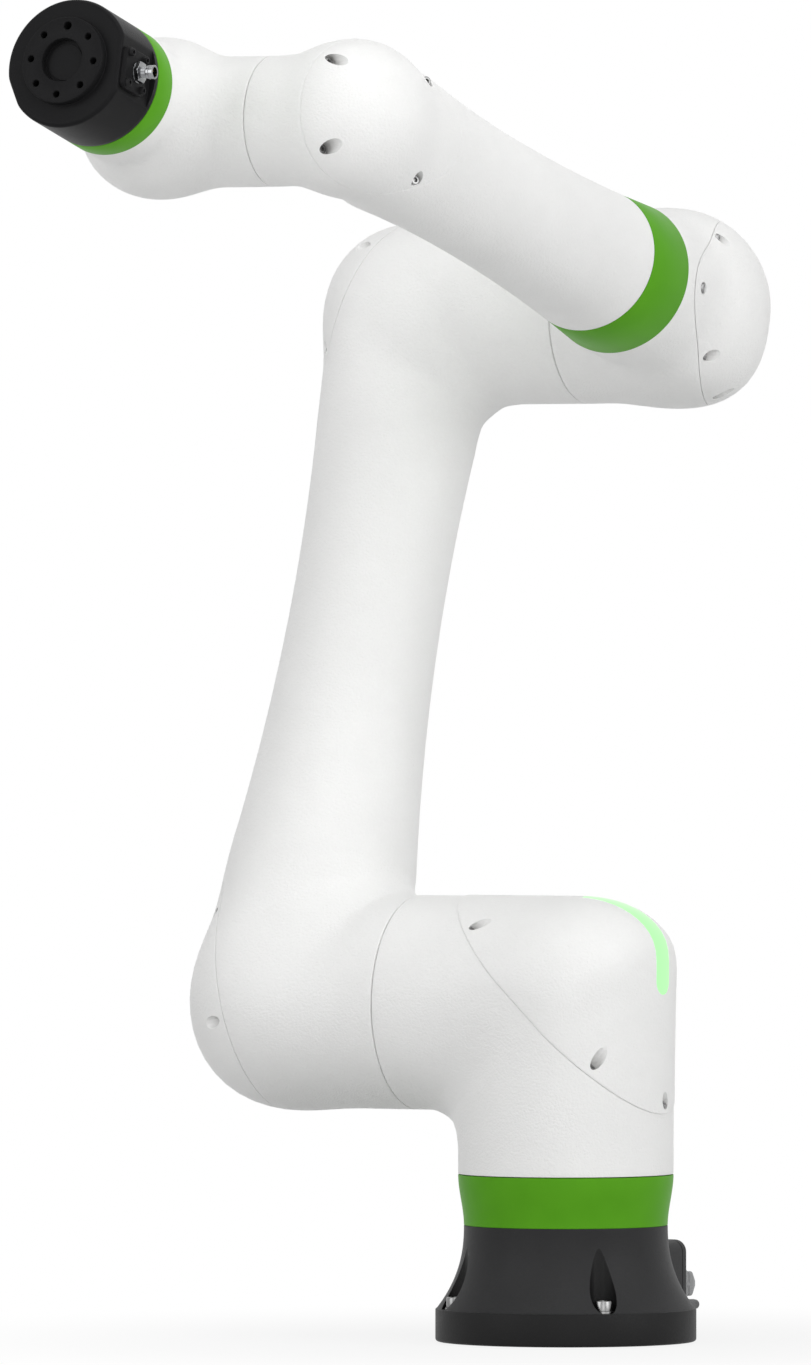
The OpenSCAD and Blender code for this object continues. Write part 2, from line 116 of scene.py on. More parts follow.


# a finish: fine grain, slow colour drift, handling marks, and worn or dusty edges; on some looks the light
# edge wear is a painted highlight, and a look with a shade zone gets painted shade there
def finish(name, ownLook):
    look = dict(plainLook, **ownLook)
    mat = bpy.data.materials.new(name)
    mat.use_nodes = True
    mat.node_tree.nodes.clear()
    w = Wire(mat.node_tree)
    place = w.add("TexCoord", out="Object")
    grain = w.noise(place, look["grainScale"], detail=3.0, rough=0.6)
    drift = w.noise(place, look["driftScale"], detail=3.0, rough=0.55)
    smear = w.noise(place, look["smearScale"], detail=5.0, rough=0.62)
    edge = w.add("NewGeometry", out="Pointiness")
    # edge mask for wear; on the screw heads and the flange its light colour is also a painted highlight along
    # the rims
    edgeWearAndHighlight = w.step(edge, *look["edgeWearAndHighlight"]) * w.step(smear, *look["smeared"])
    hollow = w.step(0.5 - edge, *look["hollow"])
    colour = w.blend(w.step(drift, *look["drifted"]), look["low"], look["high"])
    colour = w.blend((grain - 0.5) * look["speck"] + look["speck"] * 0.5, colour, look["speckColour"])
    # painted shade: the base is darkened on its foot plate and inside its bolt pockets
    if "shade" in look:
        colour = w.blend(paintedShadeMask(w, place, look["shade"]) * look["shadeShare"], colour, look["dirtAndShadeColour"])
    colour = w.blend(edgeWearAndHighlight * look["wearAndHighlight"], colour, look["wearAndHighlightColour"])
    colour = w.blend(hollow * look["dirt"], colour, look["dirtAndShadeColour"])
    rough = look["rough"] + (grain - 0.5) * look["roughGrain"] + (smear - 0.5) * look["roughSmear"]
    bump = w.add("Bump", {}, {"Strength": look["bump"], "Distance": look["bumpDepth"], "Height": grain})
    sockets = {"Base Color": colour, "Roughness": rough, "Normal": bump, "Metallic": look["metal"],
               "Specular IOR Level": look["specular"]}
    if "glow" in look:
        sockets["Emission Color"] = w.blend(w.step(drift, *look["drifted"]), look["glow"], look["glowHigh"])
        sockets["Emission Strength"] = look["glowLevel"]
    shader = w.add("BsdfPrincipled", {}, sockets)
    w.add("OutputMaterial", {}, {"Surface": shader})
    return mat


shellWhite = finish("shellWhite", {
    "low": srgb(240, 240, 239), "high": srgb(245, 245, 244), "grainScale": 560.0, "speck": 0.18,
    "speckColour": srgb(214, 214, 213), "wearAndHighlight": 0.10, "wearAndHighlightColour": srgb(250, 250, 249), "dirt": 0.35,
    "dirtAndShadeColour": srgb(176, 175, 171), "rough": 0.42, "roughGrain": 0.10, "roughSmear": 0.05, "bump": 0.6,
    "bumpDepth": 0.001, "specular": 0.35})
ringGreen = finish("ringGreen", {
    "low": srgb(81, 152, 22), "high": srgb(91, 164, 30), "grainScale": 1100.0, "speck": 0.10,
    "speckColour": srgb(70, 132, 28), "wearAndHighlight": 0.25, "wearAndHighlightColour": srgb(128, 186, 84), "dirt": 0.3,
    "dirtAndShadeColour": srgb(52, 96, 22), "rough": 0.46, "roughGrain": 0.10, "roughSmear": 0.06, "bump": 0.12,
    "specular": 0.1})
blackPaint = {
    "low": srgb(35, 35, 36), "high": srgb(41, 41, 42), "grainScale": 750.0, "speck": 0.30,
    "speckColour": srgb(48, 48, 49), "wearAndHighlight": 0.25, "wearAndHighlightColour": srgb(86, 86, 87), "dirt": 0.25,
    "dirtAndShadeColour": srgb(14, 14, 14), "rough": 0.50, "roughGrain": 0.20, "roughSmear": 0.10, "bump": 0.22,
    "bumpDepth": 0.0005, "specular": 0.14}
# where the base's painted shade lies, in metres: the foot plate's top and four bores round the corners of a
# square
footPaintedShade = {"square": 0.12, "bore": 0.0099, "fade": 0.0002, "low": 0.0235, "high": 0.0245}
basePaint = finish("basePaint", dict(blackPaint, shade=footPaintedShade, shadeShare=0.75))
boxPaint = finish("boxPaint", dict(blackPaint, wearAndHighlight=0.0, dirt=0.0))  # cut faces carry no edge wear
blackMetal = {
    "low": srgb(18, 18, 19), "high": srgb(22, 22, 23), "grainScale": 1300.0, "speck": 0.30,
    "speckColour": srgb(44, 44, 45), "wearAndHighlight": 0.3, "wearAndHighlightColour": srgb(104, 104, 106), "dirt": 0.2,
    "dirtAndShadeColour": srgb(18, 18, 18), "rough": 0.40, "roughGrain": 0.18, "roughSmear": 0.08, "bump": 0.28,
    "specular": 0.05}
# the flange's light edge wear is partly wear and partly a painted highlight on its edges
flangeBlack = finish("flangeBlack", blackMetal)
plateBlack = finish("plateBlack", dict(blackMetal, wearAndHighlight=0.0, dirt=0.0))
# screw heads: strong, light edge wear that paints a highlight on their rims
screwBlack = finish("screwBlack", dict(blackMetal, high=srgb(24, 24, 25), rough=0.36, wearAndHighlight=0.8,
                                       wearAndHighlightColour=srgb(96, 96, 97), edgeWearAndHighlight=(0.54, 0.62)))
greyPlastic = {
    "low": srgb(118, 119, 120), "high": srgb(132, 133, 134), "grainScale": 900.0, "speck": 0.2,
    "speckColour": srgb(146, 147, 148), "wearAndHighlight": 0.4, "wearAndHighlightColour": srgb(120, 121, 122), "dirt": 0.4,
    "dirtAndShadeColour": srgb(30, 30, 30), "rough": 0.45, "roughGrain": 0.12, "roughSmear": 0.1, "bump": 0.1}
connectorGrey = finish("connectorGrey", greyPlastic)
glandBlack = finish("glandBlack", dict(greyPlastic, low=srgb(44, 45, 46), high=srgb(52, 53, 54),
                                       speckColour=srgb(66, 67, 68)))
steel = {
    "low": srgb(126, 127, 129), "high": srgb(150, 151, 153), "grainScale": 700.0, "speck": 0.2,
    "speckColour": srgb(160, 161, 163), "wearAndHighlight": 0.3, "wearAndHighlightColour": srgb(232, 232, 233), "dirt": 0.6,
    "dirtAndShadeColour": srgb(84, 82, 80), "rough": 0.20, "roughGrain": 0.08, "roughSmear": 0.12, "bump": 0.03,
    "metal": 1.0}
plugSteel = finish("plugSteel", steel)
screwSteel = finish("screwSteel", dict(steel, low=srgb(120, 120, 120), high=srgb(142, 142, 141), rough=0.3))
boltSteel = finish("boltSteel", dict(steel, low=srgb(108, 108, 108), high=srgb(128, 128, 127), rough=0.3))
pinBrass = finish("pinBrass", dict(steel, low=srgb(196, 160, 92), high=srgb(214, 178, 108), rough=0.3))
lampLens = finish("lampLens", {
    "low": srgb(70, 120, 66), "high": srgb(76, 126, 72), "grainScale": 900.0, "speck": 0.05,
    "speckColour": srgb(64, 110, 60), "wearAndHighlight": 0.1, "wearAndHighlightColour": srgb(110, 160, 110), "dirt": 0.3,
    "dirtAndShadeColour": srgb(50, 90, 50), "rough": 0.3, "roughGrain": 0.06, "roughSmear": 0.04, "bump": 0.02,
    "specular": 0.2, "glow": srgb(174, 255, 170), "glowHigh": srgb(182, 255, 178), "glowLevel": 0.9})
print("finishes made")

# points round a link, steps round a turned piece, and the angle in degrees from which an edge is sharp
quality = {"around": 144, "turned": 192, "sharp": 32}
nick = 0.3  # where the middle point of a small rounded edge lies, as a share of its radius


def vec(*p):
    return np.array(p, float)


def moved(x, y, z):
    return Matrix.Translation((x * mm, y * mm, z * mm))


# one ring of a link's skin; full above 2 squares its low outer quarter
def ring(c, u, v, inner=1.0, full=2.0):
    a = np.linspace(0, 2 * np.pi, quality["around"], endpoint=False)
    cu, sv = np.cos(a), np.sin(a)
    corner = (cu > 0) & (sv < 0)
    cu, sv = (np.where(corner, np.sign(q) * np.abs(q) ** (2 / full), q) for q in (cu, sv))
    cu = np.where(cu < 0, cu * inner, cu)
    return vec(*c) + np.outer(cu, vec(*u)) + np.outer(sv, vec(*v))


# the larger of two lengths, with a soft change from one to the other
def larger(a, b, power):
    top = max(a, b)
    return top * ((a / top) ** power + (b / top) ** power) ** (1 / power)


plainBend = {"ball": 0,  # radius of the ball near where the two axes cross
             "corner": 4.5,  # how square the outer corner is
             "outer": None,  # a function for the outer skin instead of that corner
             "grow": (0, 0),  # how much fuller the outer side gets on its way to the ball, for each axis
             "shift": (0, 0),  # moves the ball along each axis
             "lift": 0,  # moves the ball to the side
             "tall": 0,  # share by which the ball is taller to the sides
             "low": 0,  # how square the low outer quarter is
             "soft": (60, 240),  # how sudden the change to the ball is, in width and in reach
             "steps": 36}


# rings that fan round a pivot from one axis to the other
def bend(pivot, d0, d1, side, r0, r1, settings):
    q = dict(plainBend, **settings)
    b0, b1 = q["fillet"] + r0, q["fillet"] + r1
    ball0, ball1 = b0 + q["shift"][0], b1 + q["shift"][1]
    rings = []
    for a in np.linspace(0, np.pi / 2, q["steps"] + 1):
        c, s = math.cos(a), math.sin(a)
        d = vec(*d0) * c + vec(*d1) * s
        if q["outer"]:
            outer = q["outer"](c, s)
        else:
            outer = ((c / (b0 + r0 + q["grow"][0] * s)) ** q["corner"]
                     + (s / (b1 + r1 + q["grow"][1] * c)) ** q["corner"]) ** (-1 / q["corner"])
        near, off = ball0 * c + ball1 * s, ball0 * s - ball1 * c
        puff = math.sqrt(max(0, q["ball"] * q["ball"] - off * off))
        reach = larger(outer, near + puff, q["soft"][1])
        w = larger(r0 + (r1 - r0) * s ** 2, puff, q["soft"][0])
        mid = math.sin(2 * a) ** 2
        centre = vec(*pivot) + d * (reach - w) + vec(*side) * q["lift"] * mid
        rings.append(ring(centre, d * w, vec(*side) * w * (1 + q["tall"] * mid),
                          (reach - w - q["fillet"]) / w, 2 + q["low"] * mid))
    return rings


# radius at t along a tube that is slimmest at s
def slim(t, r0, mid, r1, s):
    return mid + ((r0 - mid) * (1 - t / s) ** 2 if t < s else (r1 - mid) * ((t - s) / (1 - s)) ** 2)


def between(a, b, count):
    return [a + (b - a) * i / (count + 1) for i in range(1, count + 1)]


# softens the run of the rings, ends held; each step in is followed by a slightly longer one out
def relax(rings, passes):
    r = np.array(rings)
    for _ in range(passes):
        for share in (0.5, -0.52):
            r[1:-1] += ((r[:-2] + r[2:]) / 2 - r[1:-1]) * share
    return list(r)


# rounds the rim of a closed end
def roundedEnd(end, axis, radius, cuts=4):
    c, n = end.mean(0), vec(*axis)
    size = np.linalg.norm(end - c, axis=1).max()
    made = []
    for k in range(cuts + 1):
        t = math.pi / 2 * k / cuts
        share = (size - radius + radius * math.cos(t)) / size
        made.append(c + (end - c) * share + n * (radius * math.sin(t) - radius))
    return made


# softens a run between its two end rings, and closes both ends with rounded rims
def closedRun(start, startAxis, run, end, endAxis, rims, passes):
    held = [start - vec(*startAxis)] + run + [end - vec(*endAxis)]
    return (roundedEnd(start, startAxis, rims[0])[::-1] + relax(held, passes)[1:-1]
            + roundedEnd(end, endAxis, rims[1]))


# closes rows of corners into one skin
def addSkin(bm, rows):
    for a, b in zip(rows, rows[1:]):
        for i in range(len(a)):
            j = (i + 1) % len(a)
            bm.faces.new((a[i], b[i], b[j], a[j]))
    bm.faces.new(rows[0])
    bm.faces.new(rows[-1])
    bmesh.ops.recalc_face_normals(bm, faces=bm.faces)


def loftMesh(rings, matrix):
    bm = bmesh.new()
    addSkin(bm, [[bm.verts.new(matrix @ (Vector(p) * mm)) for p in r] for r in rings])
    return bm


# a prism through closed outlines, one for each height
def addPrism(bm, outlines, matrix):
    addSkin(bm, [[bm.verts.new(matrix @ (Vector((x, y, z)) * mm)) for x, y in points]
                 for points, z in outlines])


def addRevolve(bm, profile, matrix, turns):
    rows = []
    for r, z in profile:
        angles = [2 * math.pi * i / turns for i in range(turns)] if r > 1e-6 else [0]
        points = [Vector((r * math.cos(a), r * math.sin(a), z)) * mm for a in angles]
        rows.append([bm.verts.new(matrix @ p) for p in points])
    for a, b in zip(rows, rows[1:]):
        for i in range(turns):
            j = (i + 1) % turns
            quad = [a[i % len(a)], a[j % len(a)], b[j % len(b)], b[i % len(b)]]
            face = [v for k, v in enumerate(quad) if v not in quad[:k]]
            if len(face) > 2:
                bm.faces.new(face)
    bmesh.ops.recalc_face_normals(bm, faces=bm.faces)


def revolveMesh(profile, matrix):
    bm = bmesh.new()
    addRevolve(bm, profile, matrix, quality["turned"])
    return bm


def addTube(bm, matrix, d, low, high, sides=48):
    addRevolve(bm, [(0, low), (d / 2, low), (d / 2, high), (0, high)], matrix, sides)


# a straight or tapered band with soft edges
def bandProfile(r0, r1, low, high, soft):
    return [(0, low), (r0 - soft, low), (r0 - soft * nick, low + soft * nick), (r0, low + soft),
            (r1, high - soft), (r1 - soft * nick, high - soft * nick), (r1 - soft, high), (0, high)]


# a closed outline from its radius at each angle
def polarOutline(radiusAt, points):
    angles = [2 * math.pi * i / points for i in range(points)]
    return [(radiusAt(a) * math.cos(a), radiusAt(a) * math.sin(a)) for a in angles]


def circle(radius, points):
    return polarOutline(lambda a: radius, points)


# a hexagon whose corners are turned down to a radius
def hexOutline(flats, limit, points=72):
    return polarOutline(lambda a: min(flats / 2 / math.cos(a % (math.pi / 3) - math.pi / 6), limit), points)


# a rectangle with its own corner radius at the low and the high side
def softRectangle(x0, y0, x1, y1, lowR, highR, cuts=8):
    corners = [(x1 - highR, y1 - highR, highR, 0), (x0 + highR, y1 - highR, highR, 90),
               (x0 + lowR, y0 + lowR, lowR, 180), (x1 - lowR, y0 + lowR, lowR, 270)]
    made = []
    for x, y, r, turn in corners:
        for k in range(cuts + 1):
            a = math.radians(turn + 90 * k / cuts)
            made.append((x + r * math.cos(a), y + r * math.sin(a)))
    return made


# a centred rectangle, drawn in by an amount on each axis
def plateOutline(w, h, r, inX, inY):
    return softRectangle(-w / 2 + inX, -h / 2 + inY, w / 2 - inX, h / 2 - inY, r, r)


# heights and insets of a rounded edge that ends a prism
def roundedRim(top, radius, cuts):
    turns = [math.pi / 2 * k / cuts for k in range(cuts + 1)]
    return [(top - radius * (1 - math.sin(t)), radius * (1 - math.cos(t))) for t in turns]


def fourCorners(l, w):
    return [(x * l / 2, y * w / 2) for x in (-1, 1) for y in (-1, 1)]


# shares of a screw head: its edge, the edge's points, the socket's mouth, its chamfer and its floor
screwForm = {"edge": 0.06, "foot": 0.4, "bevel": 0.35, "mouth": 1.24, "lead": 0.12, "floor": 0.42,
             "sides": 36}


# socket head screw standing on z 0, its hex socket open upwards
def addScrew(bm, matrix, size):
    f, r, h, flats = screwForm, size["headD"] / 2, size["headH"], size["hex"]
    edge, sides = size["headD"] * f["edge"], f["sides"]
    socket = hexOutline(flats, flats, sides)
    outlines = [(circle(r - edge * f["foot"], sides), 0), (circle(r, sides), edge * f["foot"]),
                (circle(r, sides), h - edge), (circle(r - edge * f["bevel"], sides), h - edge * f["bevel"]),
                (circle(r - edge, sides), h), (circle(flats / 2 * f["mouth"], sides), h),
                (socket, h - flats * f["lead"]), (socket, h * f["floor"])]
    addPrism(bm, outlines, matrix)


# keeps the side of a plane that the normal points to, caps it and rounds the rim
def keepSide(bm, point, normal, gap, lip, cuts=3):
    n = Vector(normal).normalized()
    origin = Vector(point)
    for k in range(cuts + 1):
        d = gap + lip * (1 - math.cos(math.pi / 2 * k / cuts))
        bmesh.ops.bisect_plane(bm, geom=bm.verts[:] + bm.edges[:] + bm.faces[:], dist=1e-6,
                               plane_co=origin + n * d, plane_no=n, clear_inner=(k == 0))
    bm.normal_update()
    drawnIn = {}
    for v in bm.verts:
        d = (v.co - origin) @ n - gap
        if d < lip - 1e-7:
            away = v.normal - n * (v.normal @ n)
            if away.length > 1e-6:
                drawnIn[v] = away.normalized() * (lip - math.sqrt(max(0, lip * lip - (lip - d) ** 2)))
    for v, amount in drawnIn.items():
        v.co -= amount
    rim = [e for e in bm.edges if e.is_boundary]
    bmesh.ops.holes_fill(bm, edges=rim, sides=0)
    bmesh.ops.recalc_face_normals(bm, faces=bm.faces)


def rimOf(bm, point, normal, gap):
    n = Vector(normal).normalized()
    return [v.co.copy() for v in bm.verts if abs((v.co - Vector(point)) @ n - gap) < 2e-6]


def dress(obj, mat, sharp):
    obj.data.materials.clear()
    obj.data.materials.append(mat)
    obj.data.polygons.foreach_set("use_smooth", [True] * len(obj.data.polygons))
    obj.data.set_sharp_from_angle(angle=math.radians(sharp))


def makePiece(name, bm, mat, body=None, replaced=None):
    mesh = bpy.data.meshes.new(name)
    bm.to_mesh(mesh)
    bm.free()
    obj = bpy.data.objects.new(name, mesh)
    bpy.context.scene.collection.objects.link(obj)
    dress(obj, mat, quality["sharp"])
    if body:
        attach(obj, body)
        if replaced:
            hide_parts(replaced)
    return obj


# cuts or keeps what a tool mesh covers
def carve(obj, toolMesh, operation="DIFFERENCE", sharp=quality["sharp"]):
    mesh = bpy.data.meshes.new("cutter")
    toolMesh.to_mesh(mesh)
    toolMesh.free()
    tool = bpy.data.objects.new("cutter", mesh)
    bpy.context.scene.collection.objects.link(tool)
    mod = obj.modifiers.new("carve", "BOOLEAN")
    mod.operation, mod.object, mod.solver = operation, tool, "EXACT"
    made = bpy.data.meshes.new_from_object(obj.evaluated_get(bpy.context.evaluated_depsgraph_get()))
    old, mat = obj.data, obj.data.materials[0]
    obj.modifiers.clear()
    obj.data = made
    bpy.data.meshes.remove(old)
    bpy.data.objects.remove(tool)
    bpy.data.meshes.remove(mesh)
    dress(obj, mat, sharp)


def axes(normal, along):
    z = Vector(normal).normalized()
    x = (Vector(along) - z * (Vector(along) @ z)).normalized()
    y = z.cross(x)
    return Matrix((x, y, z)).transposed().to_4x4()


def tilted(angle):
    return math.cos(math.radians(angle)), math.sin(math.radians(angle))


robot = {"shoulderHeight": 245, "upperArm": 540, "forearm": 540, "wristStep": 150, "armLean": 20.43,
         "forearmRise": 13.53, "wristRise": 14.3, "gap": 0.6, "lip": 0.4, "seam": 0.15}
leanC, leanS = tilted(robot["armLean"])
riseC, riseS = tilted(robot["forearmRise"])
elbowAt = vec(0, robot["upperArm"] * leanS, robot["shoulderHeight"] + robot["upperArm"] * leanC)
wristAt = elbowAt + robot["forearm"] * vec(0, -riseC, riseS)


def linkMatrix(origin, lean):
    return Matrix.Translation(Vector(origin) * mm) @ Matrix.Rotation(math.radians(-lean), 4, "X")


inBase = Matrix.Identity(4)
inArm = linkMatrix((0, 0, robot["shoulderHeight"]), robot["armLean"])
inForearm = linkMatrix(elbowAt, robot["forearmRise"])
inWrist = linkMatrix(wristAt, robot["wristRise"])
inFlange = inWrist @ moved(-robot["wristStep"], 0, 0) @ Matrix.Rotation(math.pi / 2, 4, "X")

pocket = {"d": 9, "floor": 2, "top": 300, "inset": 6.5, "headD": 7, "headH": 2.8, "hex": 3}


# cuts one cover off a copy of a link's skin, with screw pockets inside its rim and a screw in each
def buildCover(cover, whole, point, normal, along, body):
    part = whole.copy()
    part.normal_update()
    for v, away in [(v, v.normal.copy()) for v in part.verts]:
        v.co += away * cover.get("proud", 0) * mm
    keepSide(part, point, normal, robot["seam"] * mm, robot["lip"] * mm)
    onPlane = axes(normal, along)
    flat = [onPlane.transposed() @ (p - point) for p in rimOf(part, point, normal, robot["seam"] * mm)]
    middle = Vector(((max(p.x for p in flat) + min(p.x for p in flat)) / 2,
                     (max(p.y for p in flat) + min(p.y for p in flat)) / 2, 0))
    obj = makePiece(cover["name"], part, shellWhite, body, cover["node"])
    pockets, screws = bmesh.new(), bmesh.new()
    for k, angle in enumerate(cover["screws"]):
        inset = cover["insets"][k] if "insets" in cover else pocket["inset"]
        aim = Vector((*tilted(angle), 0))
        nearest = max(flat, key=lambda p: (p - middle).to_2d().normalized() @ aim.to_2d())
        place = Vector((nearest.x, nearest.y, 0)) - aim * inset * mm
        spot = Matrix.Translation(point) @ onPlane @ Matrix.Translation(place)
        addTube(pockets, spot, cover.get("pocketD", pocket["d"]), pocket["floor"], pocket["top"])
        addScrew(screws, spot @ moved(0, 0, pocket["floor"]), pocket)
    carve(obj, pockets)
    makePiece(cover["name"] + "Screws", screws, screwSteel, body)
    return obj


# splits a link's skin into its covers and the casting that is left
def buildLink(name, rings, matrix, body, casting, covers):
    whole = loftMesh(rings, matrix)
    main = whole.copy()
    made = []
    for cover in covers:
        point = matrix @ (Vector(cover["point"]) * mm)
        normal, along = (matrix.to_3x3() @ Vector(cover[key]) for key in ("normal", "along"))
        keepSide(main, point, -normal, robot["seam"] * mm, robot["lip"] * mm)
        made.append(buildCover(cover, whole, point, normal, along, body))
    makePiece(name, main, shellWhite, body, casting)
    whole.free()
    print(name, "built with", len(covers), "covers")
    return made


shoulder = {"r": 78.4, "face": 119, "foot": 121.3, "fillet": 30, "roundX": 66, "roundZ": 43, "steps": 56,
            "rims": (0.3, 1), "passes": 3}
shoulderCover = {"proud": 0.6, "screws": (-143, -42, 2, 42, 143)}


# how far the outer skin lies from the pivot: two flat sides joined by an elliptical corner
def shoulderReach(c, s):
    roundX, roundZ = shoulder["roundX"], shoulder["roundZ"]
    flat = 2 * shoulder["r"] + shoulder["fillet"]
    x, z = flat - roundX, flat - roundZ
    if s * flat < c * z:
        return flat / c
    if c * flat < s * x:
        return flat / s
    a = (c / roundX) ** 2 + (s / roundZ) ** 2
    b = c * x / roundX ** 2 + s * z / roundZ ** 2
    return (b + math.sqrt(b * b - a * ((x / roundX) ** 2 + (z / roundZ) ** 2 - 1))) / a


def shoulderRings():
    q, r, h = shoulder, shoulder["r"], robot["shoulderHeight"]
    low = ring((0, 0, q["foot"] + robot["gap"]), (r, 0, 0), (0, r, 0))
    far = ring((-q["face"], 0, h), (0, 0, r), (0, r, 0))
    turn = bend((-r - q["fillet"], 0, h - r - q["fillet"]), (1, 0, 0), (0, 0, 1), (0, 1, 0), r, r,
                {"fillet": q["fillet"], "outer": shoulderReach, "steps": q["steps"]})
    run = between(low, turn[0], 3) + turn + between(turn[-1], far, 2)
    return closedRun(low, (0, 0, -1), run, far, (-1, 0, 0), q["rims"], q["passes"])


shoulderSkin = shoulderRings()
[shoulderCoverPiece] = buildLink("shoulderHousing", shoulderSkin, inBase, "shoulder", "shoulder_housing", [
    dict(shoulderCover, name="shoulderCover", node="shoulder_cover", point=(0, 0, robot["shoulderHeight"]),
         normal=(1, 0, 1), along=(1, 0, -1))])

light = {"w": 20, "start": 18, "end": 8, "deep": 3, "gap": 0.2, "proud": 0.5, "top": 400, "front": 300,
         "turn": 5}
lightAxes = Matrix(((0, 0, 1, 0), (1, 0, 0, 0), (0, 1, 0, 0), (0, 0, 0, 1)))  # prism heights run along X


# the upright zone that the light strip runs in, with a round low end
def lightZone(spare):
    half = light["w"] / 2 + spare
    z = robot["shoulderHeight"] + light["end"] + light["w"] / 2
    lowEnd = [tilted(t) for t in range(light["turn"], 180, light["turn"])]
    outline = [(half, light["top"]), (half, z)] + [(half * c, z - half * s) for c, s in lowEnd]
    outline += [(-half, z), (-half, light["top"])]
    bm = bmesh.new()
    addPrism(bm, [(outline, light["start"] - spare), (outline, light["front"])], lightAxes)
    return bm


# the shoulder's skin moved along the diagonal of its cover
def shoulderMoved(amount):
    return loftMesh([r + vec(amount, 0, amount) for r in shoulderSkin], inBase)


def buildLight():
    grooveTool = makePiece("grooveTool", lightZone(light["gap"]), shellWhite)
    carve(grooveTool, shoulderMoved(-light["deep"]))
    groove = bmesh.new()
    groove.from_mesh(grooveTool.data)
    carve(shoulderCoverPiece, groove)
    bpy.data.objects.remove(grooveTool)
    strip = makePiece("statusLight", lightZone(0), lampLens)
    carve(strip, shoulderMoved(light["proud"]), "INTERSECT")
    carve(strip, shoulderMoved(light["gap"] - light["deep"]))
    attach(strip, "shoulder")
    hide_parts("status_light")


buildLight()
print("status light set into the shoulder cover")

arm = {"offset": 218, "lowR": 69.5, "midR": 56, "slimAt": 0.65, "topR": 60, "elbowR": 65.8, "elbowFace": 75.2,
       "pivotIn": 2, "steps": 60, "rims": (1, 1), "passes": 12}
armLowBend = {"fillet": 27, "ball": 74.6, "shift": (0, 3.5), "soft": (12, 24), "grow": (0, 11)}
armTopBend = {"fillet": 30, "ball": 66.8, "soft": (12, 24), "grow": (9, 0)}
lowCover = {"at": 252, "tilt": 16, "screws": (-134, -54, -9, 74, 154)}
topCover = {"at": 244, "tilt": 22, "screws": (-133, -53, 50, 140)}


def armRings():
    q, r, top = arm, shoulder["r"], robot["upperArm"]
    face, elbowFace = -shoulder["face"] - robot["gap"], -q["elbowFace"] - robot["gap"]
    low = vec(face - q["pivotIn"], 0, r + armLowBend["fillet"])
    high = vec(-q["offset"] + q["topR"] + armTopBend["fillet"], 0, top - q["elbowR"] - armTopBend["fillet"])
    lowX = low[0] - armLowBend["fillet"] - q["lowR"]
    start = ring((face, 0, 0), (0, 0, -r), (0, -r, 0))
    end = ring((elbowFace, 0, top), (0, 0, q["elbowR"]), (0, -q["elbowR"], 0))
    run = bend(low, (0, 0, -1), (-1, 0, 0), (0, -1, 0), r, q["lowR"], armLowBend)
    for i in range(1, q["steps"]):
        t = i / q["steps"]
        x, z = lowX - (q["offset"] + lowX) * t, low[2] + (high[2] - low[2]) * t
        tubeR = slim(t, q["lowR"], q["midR"], q["topR"], q["slimAt"])
        run.append(ring((x, 0, z), (-tubeR, 0, 0), (0, -tubeR, 0)))
    run += bend(high, (-1, 0, 0), (0, 0, 1), (0, -1, 0), q["topR"], q["elbowR"], armTopBend)
    run += between(run[-1], end, 3)
    return closedRun(start, (1, 0, 0), run, end, (1, 0, 0), q["rims"], q["passes"])


lowC, lowS = tilted(lowCover["tilt"])
topC, topS = tilted(topCover["tilt"])
buildLink("upperArm", armRings(), inArm, "upper_arm", "upper_arm_casting", [
    dict(lowCover, name="upperArmLowCover", node="upper_arm_low_cover", point=(-lowCover["at"], 0, 0),
         normal=(-lowC, 0, -lowS), along=(-lowS, 0, lowC)),
    dict(topCover, name="upperArmTopCover", node="upper_arm_top_cover",
         point=(-topCover["at"], 0, robot["upperArm"]), normal=(-topC, 0, topS), along=(topS, 0, topC))])

elbow = {"ringAt": 105, "ringLen": 50, "r1": 57.2, "r2": 53.4, "rims": (1, 0.5), "passes": 30}
elbowBend = {"fillet": 16, "ball": 65.5, "lift": 5, "soft": (6, 24), "tall": 0.015, "low": 0.6, "steps": 48}
elbowCover = {"at": 27, "tilt": 18, "screws": (-154, -86, -32, 20, 80, 140),
              "insets": (4.5, 13, 6, 6.5, 6.5, 6.5)}


def elbowRings():
    q, r0, r1, fillet = elbow, arm["elbowR"], elbow["r1"], elbowBend["fillet"]
    start = ring((-arm["elbowFace"], 0, 0), (0, r0, 0), (0, 0, r0))
    end = ring((0, -q["ringAt"], 0), (r1, 0, 0), (0, 0, r1))
    turn = bend((-r1 - fillet, -r0 - fillet, 0), (0, 1, 0), (1, 0, 0), (0, 0, 1), r0, r1, elbowBend)
    run = turn + between(turn[-1], end, 3)
    return closedRun(start, (-1, 0, 0), run, end, (0, -1, 0), q["rims"], q["passes"])


elbowC, elbowS = tilted(elbowCover["tilt"])
buildLink("elbowHousing", elbowRings(), inForearm, "elbow", "elbow_housing", [
    dict(elbowCover, name="elbowCover", node="elbow_cover", point=(elbowCover["at"], 0, 0),
         normal=(elbowC, elbowS, 0), along=(0, 0, -1))])

forearm = {"midR": 47.6, "slimAt": 0.56, "endR": 52.8, "wristR": 46.3, "wristFace": 63.4, "steps": 50,
           "rims": (0.8, 0.8), "passes": 16}
forearmBend = {"fillet": 9, "ball": 53, "lift": 1.6, "soft": (8, 32), "steps": 44}
wristCover = {"at": 11, "tilt": 30, "screws": (-120, -56, 39.5, 137.5), "insets": (6.5, 7.5, 5, 4),
              "pocketD": 10}


